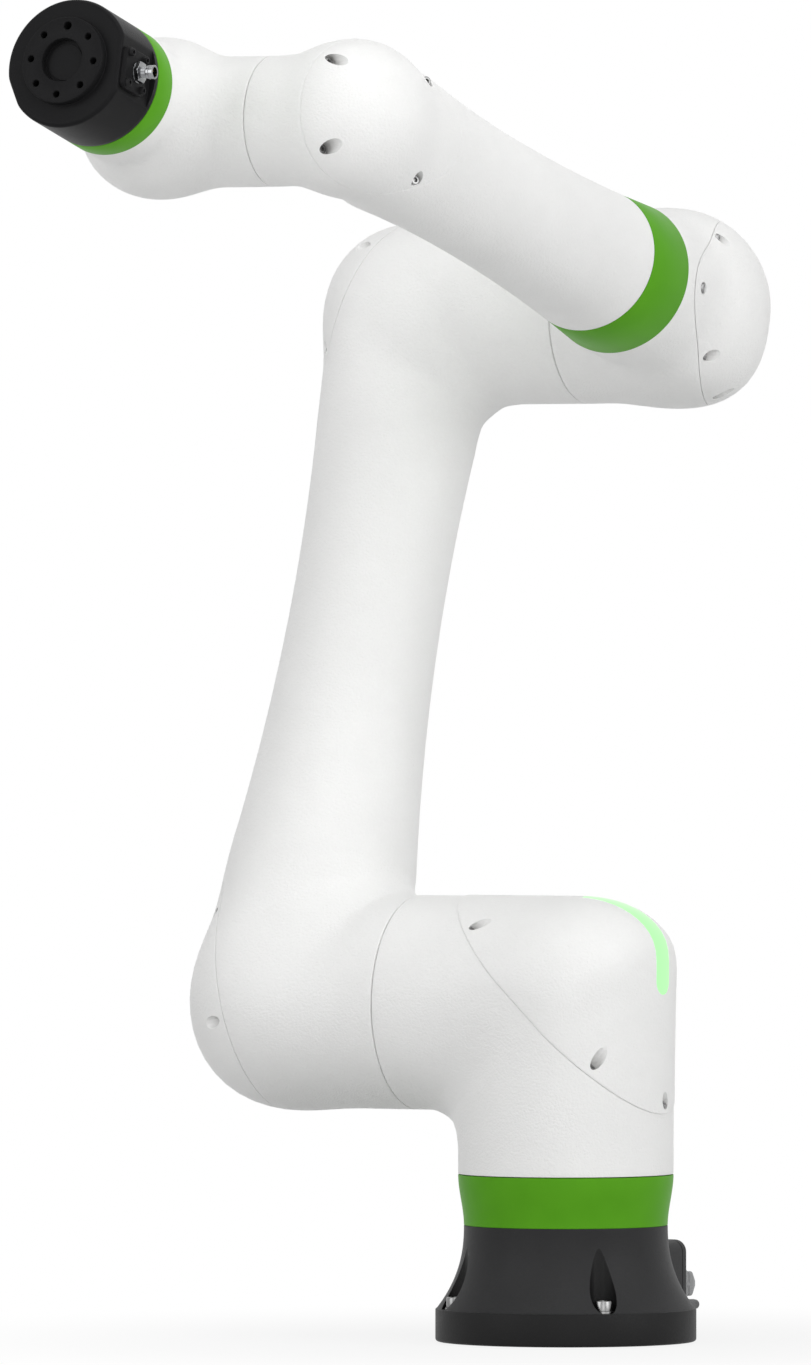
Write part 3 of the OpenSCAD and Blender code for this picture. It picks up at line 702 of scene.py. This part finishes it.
def forearmRings():
    q, wristR, fillet, length = forearm, forearm["wristR"], forearmBend["fillet"], robot["forearm"]
    first = -elbow["ringAt"] - elbow["ringLen"] - robot["gap"]
    pivot = vec(-q["endR"] - fillet, -length + wristR + fillet, 0)
    run = []
    for i in range(q["steps"]):
        t = i / q["steps"]
        r = slim(t, elbow["r2"], q["midR"], q["endR"], q["slimAt"])
        run.append(ring((0, first + (pivot[1] - first) * t, 0), (r, 0, 0), (0, 0, r)))
    start = run.pop(0)
    end = ring((-q["wristFace"], -length, 0), (0, -wristR, 0), (0, 0, wristR))
    run += bend(pivot, (1, 0, 0), (0, -1, 0), (0, 0, 1), q["endR"], wristR, forearmBend)
    return closedRun(start, (0, 1, 0), run, end, (-1, 0, 0), q["rims"], q["passes"])


wristC, wristS = tilted(wristCover["tilt"])
buildLink("forearmTube", forearmRings(), inForearm, "forearm", "forearm_tube", [
    dict(wristCover, name="forearmCover", node="forearm_cover", normal=(wristC, -wristS, 0), along=(0, 0, -1),
         point=(wristCover["at"] * wristC, -robot["forearm"] - wristCover["at"] * wristS, 0))])

wrist = {"flangeR": 46.8, "ringAt": 81, "ringLen": 21, "rims": (0.8, 0.5), "passes": 16}
wristBend = {"fillet": 33, "ball": 55.6, "lift": -1.5, "shift": (-5, 3.6), "soft": (8, 32), "steps": 48}


def wristRings():
    q, r0, r1, fillet = wrist, forearm["wristR"], wrist["flangeR"], wristBend["fillet"]
    step = robot["wristStep"]
    start = ring((-forearm["wristFace"] - robot["gap"], 0, 0), (0, r0, 0), (0, 0, -r0))
    end = ring((-step, -q["ringAt"], 0), (-r1, 0, 0), (0, 0, -r1))
    run = bend((-step + r1 + fillet, -r0 - fillet, 0), (0, 1, 0), (-1, 0, 0), (0, 0, -1), r0, r1, wristBend)
    return closedRun(start, (1, 0, 0), run, end, (0, -1, 0), q["rims"], q["passes"])


buildLink("wristHousing", wristRings(), inWrist, "wrist", "wrist_housing", [])

base = {"footR": 95, "footT": 24, "chamfer": 2.2, "brim": 1, "h": 84.5, "waistR": 74.2, "flare": 2.35,
        "topEdge": ((0.1, 0.2), (0.5, 0)),  # points of the top's rounded edge, in from the side and down
        "square": 120, "pocketD": 19.5, "pocketTop": 140, "boltHole": 7, "holeSpare": 5, "sharp": 28}
footBolt = {"headD": 12.6, "headH": 7.5, "hex": 6, "washerD": 14.5, "washerT": 1.6}


def baseProfile():
    footR, footT, waistR, h = base["footR"], base["footT"], base["waistR"], base["h"]
    chamfer, brim = base["chamfer"], base["brim"]
    edge = [(0, 0), (footR - chamfer, 0)]
    edge += [(footR - chamfer * (1 - math.sin(t)), chamfer * (1 - math.cos(t)))
             for t in np.linspace(0.2, math.pi / 2, 7)]
    edge += [(footR, footT - brim), (footR - brim * nick, footT - brim * nick), (footR - brim, footT)]
    edge += [(waistR + (footR - brim - waistR) * t ** base["flare"], h - (h - footT) * t)
             for t in np.linspace(0.985, 0.01, 60)]
    return edge + [(waistR - x, h - z) for x, z in base["topEdge"]] + [(0, h)]


def buildBase():
    footT, washerTop = base["footT"], base["footT"] + footBolt["washerT"]
    casting = makePiece("baseCasting", revolveMesh(baseProfile(), inBase), basePaint, "base",
                        "base_casting")
    pockets, holes, bolts, washers = (bmesh.new() for _ in range(4))
    for x, y in fourCorners(base["square"], base["square"]):
        spot = moved(x, y, 0)
        addTube(pockets, spot, base["pocketD"], footT, base["pocketTop"], 64)
        addTube(holes, spot, base["boltHole"], -base["holeSpare"], footT + base["holeSpare"])
        addScrew(bolts, moved(x, y, washerTop), footBolt)
        addTube(washers, spot, footBolt["washerD"], footT, washerTop)
    carve(casting, pockets, sharp=base["sharp"])
    carve(casting, holes, sharp=base["sharp"])
    makePiece("footBolts", bolts, boltSteel, "base")
    makePiece("footWashers", washers, boltSteel, "base")


buildBase()
print("base built")

baseRing = {"h": 36.8, "lowSoft": 0.4, "topSoft": 0.2}
bandSoft = 0.5


# the base ring widens in a gentle S from the base's waist to the shoulder
def baseRingProfile():
    low, high, r0, r1 = base["h"], base["h"] + baseRing["h"], base["waistR"], shoulder["r"]
    lowSoft, topSoft = baseRing["lowSoft"], baseRing["topSoft"]
    edge = [(0, low), (r0 - lowSoft, low), (r0, low + lowSoft)]
    edge += [(r0 + (r1 - r0) * t * t * (3 - 2 * t), low + baseRing["h"] * t)
             for t in np.linspace(0.03, 0.985, 32)]
    return edge + [(r1, high - topSoft), (r1 - topSoft, high), (0, high)]


def buildBand(name, link, r0, r1, matrix, body, node):
    profile = bandProfile(r0, r1, link["ringAt"], link["ringAt"] + link["ringLen"], bandSoft)
    makePiece(name, revolveMesh(profile, matrix), ringGreen, body, node)


makePiece("baseRing", revolveMesh(baseRingProfile(), inBase), ringGreen, "base", "base_ring")
alongArm = inForearm @ Matrix.Rotation(math.pi / 2, 4, "X")
buildBand("elbowRing", elbow, elbow["r1"], elbow["r2"], alongArm, "elbow", "elbow_ring")
buildBand("wristRing", wrist, wrist["flangeR"], wrist["flangeR"], inFlange, "wrist", "wrist_ring")
print("green rings built")

flange = {"start": 102.6, "end": 153, "edge": 0.5, "round": 3, "flatFrom": 107, "stepIn": 0.3, "soft": 0.25,
          "flats": ((0, 42), (207, 45.6)),  # where each flat faces, and how far it lies from the axis
          "around": 360}
toolHole = {"count": 8, "circle": 50, "d": 5, "dowelD": 6, "deep": 12, "turn": -2.8, "chamfer": 0.45,
            "point": 0.5, "clear": 4, "sides": 40}
toolPlate = {"d": 63, "face": 160, "chamfer": 0.8, "bevel": 0.35, "foot": 0.4, "pilotD": 31.5, "pilotDeep": 6,
             "grooveW": 2.2, "grooveDeep": 0.5, "grooveLip": 0.3, "grooveRound": 0.2}


def flangeRings():
    f, r = flange, wrist["flangeR"]
    a = np.linspace(0, 2 * np.pi, f["around"], endpoint=False)
    cut = np.ones_like(a)
    for turn, away in f["flats"]:
        facing = np.cos(a - math.radians(turn))
        flatR = np.where(facing > 0.5, away / np.maximum(facing, 0.5), 2 * r)
        cut = cut + np.exp((r - flatR) / f["soft"])
    cut = np.minimum(r, r - f["soft"] * np.log(cut))
    edge = f["edge"]
    # height, share of the flats' cut, and inset of each ring
    steps = [(f["start"], 0, edge), (f["start"] + edge * nick, 0, edge * nick), (f["start"] + edge, 0, 0)]
    steps += [(f["flatFrom"] + f["stepIn"] * k, share, 0)
              for k, share in ((-1, 0), (-0.5, 0.08), (0, 0.92), (1, 1))]
    steps += [(z, 1, 0) for z in np.linspace(f["flatFrom"] + 4, f["end"] - f["round"] - 1, 10)]
    steps += [(z, 1, inset) for z, inset in roundedRim(f["end"], f["round"], 8)]
    steps += [(f["end"], 1, inset) for inset in (4, 8)]
    made = []
    for z, share, inset in steps:
        radius = r + (cut - r) * share - inset
        made.append(np.stack([radius * np.cos(a), radius * np.sin(a), np.full_like(a, z)], 1))
    return made


# the cutter for the circle of tool holes; the first one takes a dowel
def toolHoles():
    h, face, bm = toolHole, toolPlate["face"], bmesh.new()
    for i in range(h["count"]):
        turn = math.radians(360 / h["count"] * i + h["turn"])
        r, lip, floor = (h["d"] if i else h["dowelD"]) / 2, h["chamfer"], face - h["deep"]
        spot = inFlange @ moved(-math.sin(turn) * h["circle"] / 2, math.cos(turn) * h["circle"] / 2, 0)
        profile = [(0, floor - r * h["point"]), (r, floor), (r, face - lip), (r + lip, face),
                   (r + lip, face + h["clear"]), (0, face + h["clear"])]
        addRevolve(bm, profile, spot, h["sides"])
    return bm


def toolPlateProfile():
    p, face, foot = toolPlate, toolPlate["face"], flange["end"]
    plateR, pilotR, pilotFloor = p["d"] / 2, p["pilotD"] / 2, face - p["pilotDeep"]
    chamfer, bevel = p["chamfer"], p["chamfer"] * p["bevel"]
    grooveR, grooveFloor = pilotR - p["grooveW"], pilotFloor - p["grooveDeep"]
    return [(0, pilotFloor), (grooveR - p["grooveLip"], pilotFloor), (grooveR, grooveFloor),
            (pilotR - p["grooveRound"], grooveFloor), (pilotR, grooveFloor + p["grooveRound"]),
            (pilotR, face - chamfer), (pilotR + bevel, face - bevel), (pilotR + chamfer, face),
            (plateR - chamfer, face), (plateR - bevel, face - bevel), (plateR, face - chamfer),
            (plateR, foot + p["foot"]), (plateR + p["foot"], foot), (0, foot)]


housing = makePiece("flangeHousing", loftMesh(flangeRings(), inFlange), flangeBlack, "flange",
                    "flange_housing")
carve(housing, toolHoles())
plate = makePiece("toolPlate", revolveMesh(toolPlateProfile(), inFlange), plateBlack, "flange",
                  "tool_plate")
carve(plate, toolHoles())

socketPlate = {"at": 134.5, "y": -2, "l": 30, "w": 30, "t": 4, "corner": 4, "soft": 0.5, "screwL": 21,
               "screwW": 22, "sunk": 0.3, "headD": 5.5, "headH": 3, "hex": 2.5}
onFlat = (inFlange @ moved(flange["flats"][0][1], socketPlate["y"], socketPlate["at"])
          @ Matrix.Rotation(math.pi / 2, 4, "Y"))


def buildSocketPlate():
    p, slab, heads = socketPlate, bmesh.new(), bmesh.new()
    rim = [(0, 0)] + roundedRim(p["t"], p["soft"], 4)
    addPrism(slab, [(plateOutline(p["l"], p["w"], p["corner"] - d, d, d), z) for z, d in rim], onFlat)
    for x, y in fourCorners(p["screwL"], p["screwW"]):
        addScrew(heads, onFlat @ moved(x, y, p["t"] - p["sunk"]), p)
    makePiece("connectorPlate", slab, plateBlack, "flange", "connector_plate")
    makePiece("connectorPlateScrews", heads, screwBlack, "flange")


buildSocketPlate()

toolPlug = {"low": 2.5, "washerD": 15.4, "washerT": 0.8, "flats": 14, "nutT": 4, "neckD": 8, "pitch": 0.9,
            "threadDeep": 0.35, "barrelD": 10, "out": 14, "collarAt": 8.6, "rim": 0.4, "mouth": 0.3,
            "soft": 0.2,
            # corner radius of the nut as a share of its flats, and height from the washer or the nut's top
            "nutFoot": ((0.56, 0), (0.575, 0.25)), "nutTop": ((0.575, -0.5), (0.545, -0.2), (0.5, 0)),
            # points of the collar, in from the barrel's side and out from the collar's foot
            "collar": ((0.3, 0), (0, 0.3), (0, 1.5), (0.35, 1.75), (0.35, 2.1), (0, 2.35)),
            "socketD": 7, "socketDeep": 5.5, "insertT": 1.2, "insertFit": 0.05, "pins": 4, "pinD": 1.0,
            "pinCircle": 3.4, "pinShort": 2.5, "sides": 64}
onPlate = onFlat @ moved(toolPlug["low"], 0, socketPlate["t"])


# the plug's threaded neck, collar and barrel, down to the floor of its socket
def plugProfile():
    p = toolPlug
    neckR, rimR, holeR = p["neckD"] / 2, p["barrelD"] / 2, p["socketD"] / 2
    out, nutT, pitch, collarAt = p["out"], p["nutT"], p["pitch"], p["collarAt"]
    floor = out - p["socketDeep"]
    edge = [(0, nutT - 1), (neckR, nutT - 1), (neckR, nutT)]
    for i in range(int((collarAt - nutT) / pitch)):
        z = nutT + pitch * i
        edge += [(neckR - p["threadDeep"], z + pitch * 0.3), (neckR, z + pitch * 0.8)]
    edge += [(neckR, collarAt)] + [(rimR - x, collarAt + z) for x, z in p["collar"]]
    return edge + [(rimR, out - p["rim"]), (rimR - p["rim"], out), (holeR + p["mouth"], out),
                   (holeR, out - p["mouth"]), (holeR, floor), (0, floor)]


def buildToolPlug():
    p, flats, soft, washerR = toolPlug, toolPlug["flats"], toolPlug["soft"], toolPlug["washerD"] / 2
    plug, insert, pins = bmesh.new(), bmesh.new(), bmesh.new()
    addRevolve(plug, bandProfile(washerR, washerR, 0, p["washerT"], soft), onPlate, p["sides"])
    nut = [(share, p["washerT"] + z) for share, z in p["nutFoot"]]
    nut += [(share, p["nutT"] + z) for share, z in p["nutTop"]]
    addPrism(plug, [(hexOutline(flats, flats * share), z) for share, z in nut], onPlate)
    addRevolve(plug, plugProfile(), onPlate, p["sides"])
    makePiece("toolConnector", plug, plugSteel, "flange", "tool_connector")
    floor, insertR, pinR = p["out"] - p["socketDeep"], p["socketD"] / 2 - p["insertFit"], p["pinD"] / 2
    addRevolve(insert, bandProfile(insertR, insertR, floor, floor + p["insertT"], soft), onPlate, 48)
    for i in range(p["pins"]):
        turn = math.pi * 2 * (i + 0.5) / p["pins"]
        spot = onPlate @ moved(math.cos(turn) * p["pinCircle"] / 2, math.sin(turn) * p["pinCircle"] / 2, 0)
        addRevolve(pins, bandProfile(pinR, pinR, floor + 1, p["out"] - p["pinShort"], soft), spot, 16)
    makePiece("plugInsert", insert, screwBlack, "flange")
    makePiece("plugPins", pins, pinBrass, "flange")


buildToolPlug()
print("tool flange built")

behind = Matrix.Rotation(-math.pi / 2, 4, "X")  # prism heights run to the rear, its y runs down
box = {"w": 82, "rear": 117.9, "deep": 78, "top": 70, "low": 5, "round": 9, "lowRound": 2, "leastRound": 0.2,
       "rearRound": 2.5, "lidT": 8, "fit": 0.1,
       "lidSeam": ((-0.5, 0), (-0.4, 0.8), (0.3, 0.8), (0.4, 0)),  # its points, to the rear and inwards
       "screwX": 34.5, "screwZ": (12, 61), "seatD": 6.5, "seatDeep": 2.5, "seatTop": 9, "headD": 5.5,
       "headH": 3, "hex": 2.5}


def boxOutline(d):
    p, half = box, box["w"] / 2
    return softRectangle(-half + d, -p["top"] + d, half - d, -p["low"] - d, p["round"] - d,
                         max(p["lowRound"] - d, p["leastRound"]))


def buildBox():
    p, body, seats, heads = box, bmesh.new(), bmesh.new(), bmesh.new()
    steps = [(p["rear"] - p["deep"], 0)] + [(p["rear"] - p["lidT"] + z, d) for z, d in p["lidSeam"]]
    steps += roundedRim(p["rear"], p["rearRound"], 6)
    addPrism(body, [(boxOutline(d), z) for z, d in steps], behind)
    shell = makePiece("connectorBox", body, boxPaint, "base", "connector_box")
    carve(shell, revolveMesh([(r + p["fit"] if r else 0, z) for r, z in baseProfile()], inBase))
    for x in (-p["screwX"], p["screwX"]):
        for z in p["screwZ"]:
            spot = moved(x, p["rear"] - p["seatDeep"], z) @ behind
            addTube(seats, spot, p["seatD"], 0, p["seatTop"])
            addScrew(heads, spot, p)
    carve(shell, seats)
    makePiece("connectorBoxScrews", heads, screwBlack, "base")


buildBox()

power = {"w": 34, "h": 18, "out": 21, "bevel": 6, "bevelSide": 0.15, "x": 21, "z": 37, "corner": 2,
         "endCorner": 1.6, "rimT": 2.5, "rimGrow": 2.0, "rimRound": 0.6, "grooveAt": 9,
         "groove": ((-0.6, 0), (-0.4, 0.6), (0.4, 0.6), (0.6, 0)),  # points of the groove, outwards and in
         "studD": 4, "studOut": 1.2, "studBack": 3.5, "studSoft": 0.3}


def buildPower():
    p, w, h, body = power, power["w"], power["h"], bmesh.new()
    onRear = moved(p["x"], box["rear"], p["z"]) @ behind
    rimW, rimH, neck = w + 2 * p["rimGrow"], h + 2 * p["rimGrow"], p["out"] - p["bevel"]
    rim = [(0, 0)] + roundedRim(p["rimT"], p["rimRound"], 3)
    addPrism(body, [(plateOutline(rimW, rimH, p["corner"], d, d), z) for z, d in rim], onRear)
    sides = [(p["rimT"] - 1, 0)] + [(p["grooveAt"] + z, d) for z, d in p["groove"]] + [(neck, 0)]
    shape = [(plateOutline(w, h, p["corner"], d, d), z) for z, d in sides]
    shape += [(plateOutline(w, h, p["endCorner"], d * p["bevelSide"], d), neck + d)
              for d in np.linspace(0.6, p["bevel"], 8)]
    addPrism(body, shape, onRear)
    stud = bandProfile(p["studD"] / 2, p["studD"] / 2, -1, p["studOut"], p["studSoft"])
    for side in (-1, 1):
        turned = Matrix.Rotation(side * math.pi / 2, 4, "Y")
        addRevolve(body, stud, onRear @ moved(side * w / 2, 0, p["grooveAt"] - p["studBack"]) @ turned, 32)
    makePiece("powerConnector", body, connectorGrey, "base", "power_connector")


buildPower()

gland = {"x": 32.5, "z": 21, "flats": 9.5, "bodyD": 8.8, "ribs": 20,
         "hex": ((0.565, 0), (0.565, 5.6), (0.52, 6)),  # corner radius as a share of the flats, and height
         # inset, rib depth and height of each outline of the body
         "body": ((0.6, 0, 5), (0.6, 0, 7.2), (0, 0, 7.4), (0, 0.25, 8), (0, 0.25, 20), (0.3, 0, 20.6),
                  (0.4, 0, 25), (0.5, 0, 27.5), (0.9, 0, 28)),
         "endIn": (0.8, 0.9), "endFrom": 27, "out": 31, "endSoft": 0.5}


def ribbed(radius, depth, points=160):
    return polarOutline(lambda a: radius - depth * (0.5 - 0.5 * math.cos(gland["ribs"] * a)), points)


def buildGland():
    p, half, body = gland, gland["bodyD"] / 2, bmesh.new()
    onRear = moved(p["x"], box["rear"], p["z"]) @ behind
    addPrism(body, [(hexOutline(p["flats"], p["flats"] * share), z) for share, z in p["hex"]], onRear)
    addPrism(body, [(ribbed(half - inset, depth), z) for inset, depth, z in p["body"]], onRear)
    end = bandProfile(half - p["endIn"][0], half - p["endIn"][1], p["endFrom"], p["out"], p["endSoft"])
    addRevolve(body, end, onRear, 48)
    makePiece("cableFitting", body, glandBlack, "base", "cable_fitting")


buildGland()
print("back of the base built")

scene = bpy.context.scene
scene.view_settings.view_transform = "Standard"
centre = Vector((0, 0, 0.5))
# focal length and picture height are in thousands of photo pixels; right and up move the view's centre
view = {"azimuth": 27.11, "elevation": 0.22, "distance": 10.0, "right": -0.1166711, "up": -0.0208774,
        "focal": 13.744, "pictureHeight": 1.365, "sensor": 36, "clipEnd": 100}
azimuth, elevation = math.radians(view["azimuth"]), math.radians(view["elevation"])
right = Vector((math.cos(azimuth), math.sin(azimuth), 0))
level = math.cos(elevation)
back = Vector((math.sin(azimuth) * level, -math.cos(azimuth) * level, math.sin(elevation)))


def placeCamera():
    up = back.cross(right)
    camera = bpy.data.objects.new("camera", bpy.data.cameras.new("camera"))
    scene.collection.objects.link(camera)
    camera.matrix_world = Matrix((right, up, back)).transposed().to_4x4()
    camera.location = centre + right * view["right"] + up * view["up"] + back * view["distance"]
    camera.data.sensor_width = view["sensor"]
    camera.data.lens = view["focal"] * view["sensor"] / view["pictureHeight"]
    camera.data.clip_end = view["clipEnd"]
    scene.camera = camera


# 1 where the eye, a mirror or glass looks straight at the backdrop
def seenPlain(w):
    rays = ("Is Camera Ray", "Is Glossy Ray", "Is Transmission Ray")
    eye, mirror, glass = (w.add("LightPath", out=ray) for ray in rays)
    return w.calc("MAXIMUM", eye, w.calc("MAXIMUM", mirror, glass))


studio = {"skyLight": 0.25, "groundLight": 0.75, "horizon": (-0.9, 0.9)}


def lightWorld():
    world = bpy.data.worlds.new("studio")
    scene.world = world
    world.use_nodes = True
    world.node_tree.nodes.clear()
    w = Wire(world.node_tree)
    height = w.add("SeparateXYZ", {}, {0: w.add("TexCoord", out="Generated")}, "Z")
    ground, sky = grey(studio["groundLight"]), grey(studio["skyLight"])
    colour = w.blend(w.step(height, *studio["horizon"]), ground, sky)
    soft = w.add("Background", {}, {"Color": colour, "Strength": 1.0})
    white = w.add("Background", {}, {"Color": grey(1), "Strength": 1.0})
    mixed = w.add("MixShader", {}, {0: seenPlain(w), 1: soft, 2: white})
    w.add("OutputWorld", {}, {"Surface": mixed})


# white to the eye, with the object's shadow left in it near the foot
floorLook = {"radius": 4.0, "drop": 0.0005, "shade": 0.6, "plainNear": 0.86, "fade": (0.12, 0.6),
             "segments": 128}


def layFloor():
    mat = bpy.data.materials.new("floorWhite")
    mat.use_nodes = True
    mat.node_tree.nodes.clear()
    w = Wire(mat.node_tree)
    away = w.add("VectorMath", {"operation": "LENGTH"}, {0: w.add("TexCoord", out="Object")}, "Value")
    near = floorLook["plainNear"]
    plain = seenPlain(w) * (near + (1 - near) * w.step(away, *floorLook["fade"]))
    lit = w.add("BsdfDiffuse", {}, {"Color": grey(floorLook["shade"])})
    pale = w.add("Emission", {}, {"Color": grey(1), "Strength": 1.0})
    w.add("OutputMaterial", {}, {"Surface": w.add("MixShader", {}, {0: plain, 1: lit, 2: pale})})
    disc = bmesh.new()
    bmesh.ops.create_circle(disc, cap_ends=True, segments=floorLook["segments"], radius=floorLook["radius"])
    floor = makePiece("floor", disc, mat)
    floor.location.z = -floorLook["drop"]


# offsets run right, to the camera and up
lamps = {"key": {"offset": (0.3, 2.7, 2.3), "power": 25, "size": 2.2},
         "top": {"offset": (-0.2, 0.2, 3.4), "power": 34, "size": 2.5},
         "left": {"offset": (-2.6, 1.8, 0.9), "power": 26, "size": 2.0},
         "right": {"offset": (2.6, 1.6, 0.9), "power": 36, "size": 2.0},
         "low": {"offset": (0.1, 2.4, -0.2), "power": 8, "size": 1.2}}


def hangLamp(name, lamp):
    data = bpy.data.lights.new(name, "AREA")
    data.energy, data.size = lamp["power"], lamp["size"]
    obj = bpy.data.objects.new(name, data)
    scene.collection.objects.link(obj)
    place = right * lamp["offset"][0] + back * lamp["offset"][1] + Vector((0, 0, 1)) * lamp["offset"][2]
    obj.location = centre + place
    obj.rotation_mode = "QUATERNION"
    obj.rotation_quaternion = place.normalized().to_track_quat("Z", "Y")


placeCamera()
lightWorld()
layFloor()
for name, lamp in lamps.items():
    hangLamp(name, lamp)
print("stage, light and camera set")
